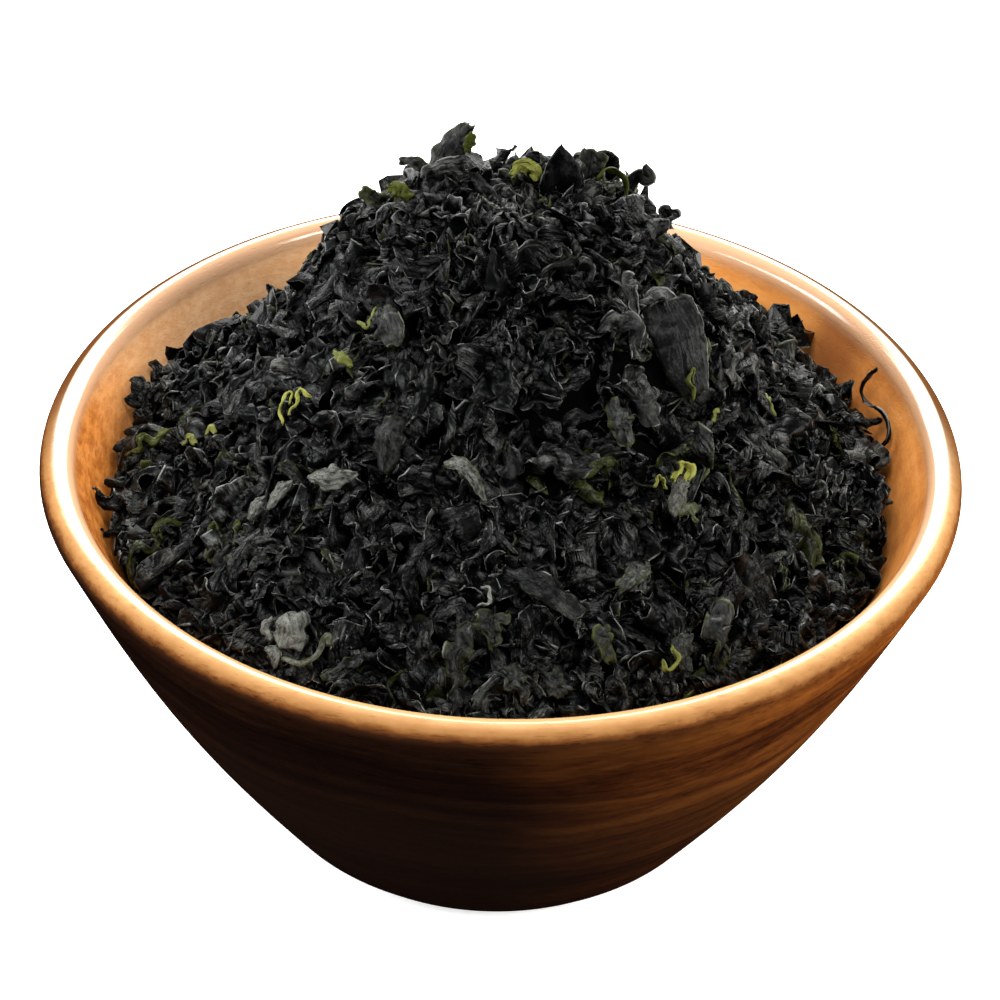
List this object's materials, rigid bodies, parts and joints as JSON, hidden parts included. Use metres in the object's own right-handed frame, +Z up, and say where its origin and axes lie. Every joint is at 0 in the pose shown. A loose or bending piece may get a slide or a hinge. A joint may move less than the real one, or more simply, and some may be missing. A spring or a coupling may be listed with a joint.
{
  "type": "bowl of dried cut wakame",
  "caption": "Turned wooden bowl heaped with dried cut wakame: near-black, crumpled and curled flakes of seaweed in a mound with a broad peak.",
  "frame": {"origin": "middle of the bowl's flat foot, on the surface it stands on", "axes": "+Z up, +X to the right and -Y towards the viewer of the picture's side of the heap"},
  "size_m": [0.16, 0.16, 0.1272],
  "materials": {
    "wood": "satin oiled hardwood, darker outside",
    "wakame": "dry, crumpled, matt with a soft sheen"
  },
  "bodies": {
    "root": {"bowl": "wood", "wakame": "wakame"}
  },
  "joints": []
}
